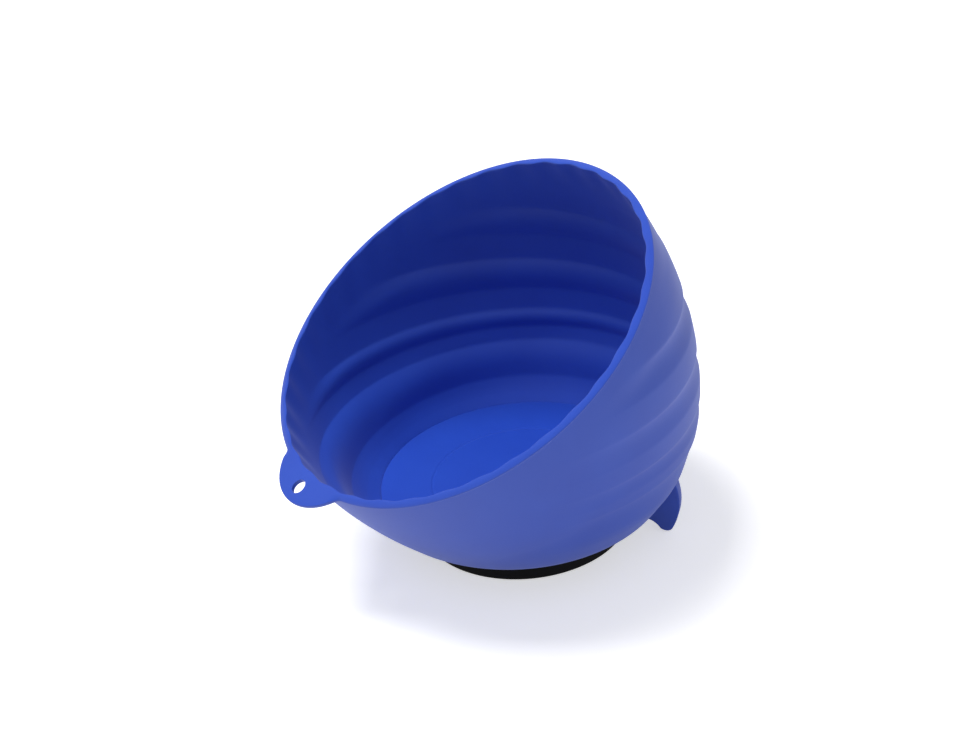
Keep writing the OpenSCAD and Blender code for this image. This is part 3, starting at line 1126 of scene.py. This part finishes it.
@dataclass
class Boot:
    """The rubber cover of the magnet, turned to the sizes of its solid with its edges rounded."""

    finish: Finish = RUBBER
    sharp_deg: float = 35.0
    columns: int = 180
    edge_round: float = 1.0
    edge_rows: int = 7
    top_round: float = 0.4
    top_rows: int = 4
    shown: float = 11.0
    skin: float = 1.5
    wall: float = 1.6
    lip_t: float = 1.0
    lip_w: float = 5.0
    plug_inset: float = 1.65
    plug_bevel_w: float = 0.05
    plug_bevel_h: float = 0.3
    hub_r: float = 2.0

    def build(self) -> bpy.types.Object:
        """Builds the boot and seats it in place of its node.

        Returns:
            The finished piece.
        """
        low, high = (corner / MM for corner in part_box("base_boot"))
        r, top, shown = high.x, high.z, self.shown
        plug_r = r - self.plug_inset
        bore = plug_r - self.wall
        lip_r, lip_z = bore - self.lip_w, top - self.lip_t
        arc = [(r - self.edge_round * (1 - math.sin(a)), self.edge_round * (1 - math.cos(a)))
               for a in np.linspace(0, math.pi / 2, self.edge_rows)]
        crown = [(r - self.top_round * (1 - math.cos(a)), shown - self.top_round * (1 - math.sin(a)))
                 for a in np.linspace(0, math.pi / 2, self.top_rows)]
        outline = [(self.hub_r, low.z), (r / 2, low.z), *arc, (r, shown / 2), *crown,
                   (plug_r + self.plug_bevel_w, shown), (plug_r, shown + self.plug_bevel_h), (plug_r, top),
                   (lip_r, top), (lip_r, lip_z), (bore, lip_z), (bore, self.skin), (r / 2, self.skin),
                   (self.hub_r, self.skin)]
        turns = np.linspace(0, 2 * math.pi, self.columns, endpoint=False)
        rows = [level_ring(turns, radius, z) for radius, z in outline]
        points = np.vstack([*rows, [(0, 0, low.z), (0, 0, self.skin)]])
        piece = mesh_piece("base_boot_rubber", points, closed_faces(len(rows), self.columns), self.finish)
        shade(piece, self.sharp_deg)
        seat(piece, Slot.RUBBER, "base_boot")
        return piece


@dataclass
class MagnetSet:
    """The sealed magnet and its fastening, whose solids stay and get their real finishes."""

    finishes: dict[str, Finish] = field(default_factory=lambda: {
        "magnet_cup": ZINC_STEEL, "ring_magnet": FERRITE, "pole_piece": ZINC_STEEL, "base_screw": ZINC_STEEL,
        "lock_washer": ZINC_STEEL, "threaded_insert": BRASS})

    def build(self) -> None:
        """Dresses each node with its finish."""
        for node, finish in self.finishes.items():
            piece = frame["nodes"][node]
            piece.data.materials.clear()
            piece.data.materials.append(finish.material())
            log.info("%s: solid kept, %s", node, finish.name)


@dataclass(frozen=True)
class SoftBox:
    """A square lamp, with its place and size in metres."""

    name: str
    place: tuple[float, float, float]
    size: float
    watts: float


@dataclass
class Studio:
    """Floor, light and camera. Names that end in _m hold metres."""

    lens_px: float = 2148.78
    distance: float = 796.4
    elevation: float = math.radians(30.51)
    azimuth: float = math.radians(62.22)
    roll: float = math.radians(-5.78)
    shift_x: float = 13.33
    shift_y: float = -55.93
    sensor: float = 36.0
    near_m: float = 0.01
    far_m: float = 20.0
    floor_size_m: float = 4.0
    floor_drop_m: float = 0.0002
    floor_colour: str = "#EEEEEE"
    floor_glow: float = 0.55
    world_light: float = 0.28
    aim_m: tuple[float, float, float] = (0.0, 0.0, 0.06)
    lamps: tuple[SoftBox, ...] = (SoftBox("key_softbox", (-0.25, -0.28, 1.2), 0.6, 15.8),
                                  SoftBox("side_fill", (1.15, 0.35, 0.28), 0.7, 3.2))

    def camera(self) -> bpy.types.Object:
        """Makes the camera at the photograph's viewing angle.

        Returns:
            The camera.
        """
        a, e = self.azimuth, self.elevation
        back = Vector((math.sin(a) * math.cos(e), -math.cos(a) * math.cos(e), math.sin(e)))
        right = Vector((math.cos(a), math.sin(a), 0))
        up = back.cross(right)
        across = math.cos(self.roll) * right + math.sin(self.roll) * up
        along = -math.sin(self.roll) * right + math.cos(self.roll) * up
        place = (self.distance * back - self.shift_x * across - self.shift_y * along) * MM
        data = bpy.data.cameras.new("camera")
        data.sensor_fit = "HORIZONTAL"
        data.sensor_width = self.sensor
        data.lens = self.lens_px * self.sensor / PHOTO_W_PX
        data.clip_start = self.near_m
        data.clip_end = self.far_m
        camera = bpy.data.objects.new("camera", data)
        turn = Matrix((across, along, back)).transposed().to_4x4()
        camera.matrix_world = Matrix.Translation(place) @ turn
        bpy.context.scene.collection.objects.link(camera)
        bpy.context.scene.camera = camera
        return camera

    def seen(self, tree: bpy.types.NodeTree) -> bpy.types.NodeSocket:
        """Adds a factor of 1 for what the camera sees straight, mirrored or through glass.

        Args:
            tree: The tree of the world or the floor.

        Returns:
            The factor's socket.
        """
        path = add_node(tree, "ShaderNodeLightPath").outputs
        both = add_node(tree, MATHS, LARGER, {0: path["Is Camera Ray"], 1: path["Is Glossy Ray"]})
        every = add_node(tree, MATHS, LARGER, {0: both.outputs[0], 1: path["Is Transmission Ray"]})
        return every.outputs[0]

    def world(self) -> None:
        """Sets a white background that lights the object at a plain level."""
        world = bpy.data.worlds.new("studio")
        world.use_nodes = True
        tree = world.node_tree
        tree.nodes.clear()
        strength = add_node(tree, RAMP, inputs={
            "Value": self.seen(tree), "To Min": self.world_light, "To Max": 1.0})
        light = add_node(tree, "ShaderNodeBackground", inputs={
            "Color": linear(WHITE), "Strength": strength.outputs["Result"]})
        add_node(tree, "ShaderNodeOutputWorld", inputs={"Surface": light.outputs[0]})
        bpy.context.scene.world = world

    def floor(self) -> None:
        """Lays a pale floor that keeps the shadow."""
        half = self.floor_size_m / 2
        corners = [(-half, -half, 0), (half, -half, 0), (half, half, 0), (-half, half, 0)]
        mesh = bpy.data.meshes.new("floor")
        mesh.from_pydata(corners, [], [(0, 1, 2, 3)])
        material = bpy.data.materials.new("pale paper floor")
        material.use_nodes = True
        tree = material.node_tree
        tree.nodes.clear()
        paper = add_node(tree, "ShaderNodeBsdfDiffuse", inputs={"Color": linear(self.floor_colour)})
        glow = add_node(tree, MATHS, TIMES, {0: self.seen(tree), 1: self.floor_glow})
        shine = add_node(tree, "ShaderNodeEmission", inputs={
            "Color": linear(WHITE), "Strength": glow.outputs[0]})
        both = add_node(tree, "ShaderNodeAddShader", inputs={0: paper.outputs[0], 1: shine.outputs[0]})
        add_node(tree, "ShaderNodeOutputMaterial", inputs={"Surface": both.outputs[0]})
        mesh.materials.append(material)
        floor = bpy.data.objects.new("floor", mesh)
        floor.location.z = -self.floor_drop_m
        bpy.context.scene.collection.objects.link(floor)

    def hang(self, box: SoftBox) -> None:
        """Hangs a soft box that looks at the tray.

        Args:
            box: The lamp's place, size and power.
        """
        data = bpy.data.lights.new(box.name, "AREA")
        data.size = box.size
        data.energy = box.watts
        lamp = bpy.data.objects.new(box.name, data)
        lamp.location = Vector(box.place)
        # The white surroundings give the plastic its haze, and the lamps add no glare to it
        lamp.visible_glossy = False
        lamp.rotation_euler = (Vector(self.aim_m) - lamp.location).to_track_quat("-Z", "Y").to_euler()
        bpy.context.scene.collection.objects.link(lamp)

    def build(self) -> None:
        """Sets up the whole studio."""
        self.camera()
        self.world()
        self.floor()
        for box in self.lamps:
            self.hang(box)
        bpy.context.scene.view_settings.view_transform = "Standard"


def main() -> None:
    """Builds the tray and its studio in order."""
    logging.basicConfig(level=logging.INFO, format="%(name)s: %(message)s")
    Studio().build()
    Tray().build()
    Boot().build()
    MagnetSet().build()


if __name__ == "__main__":
    main()
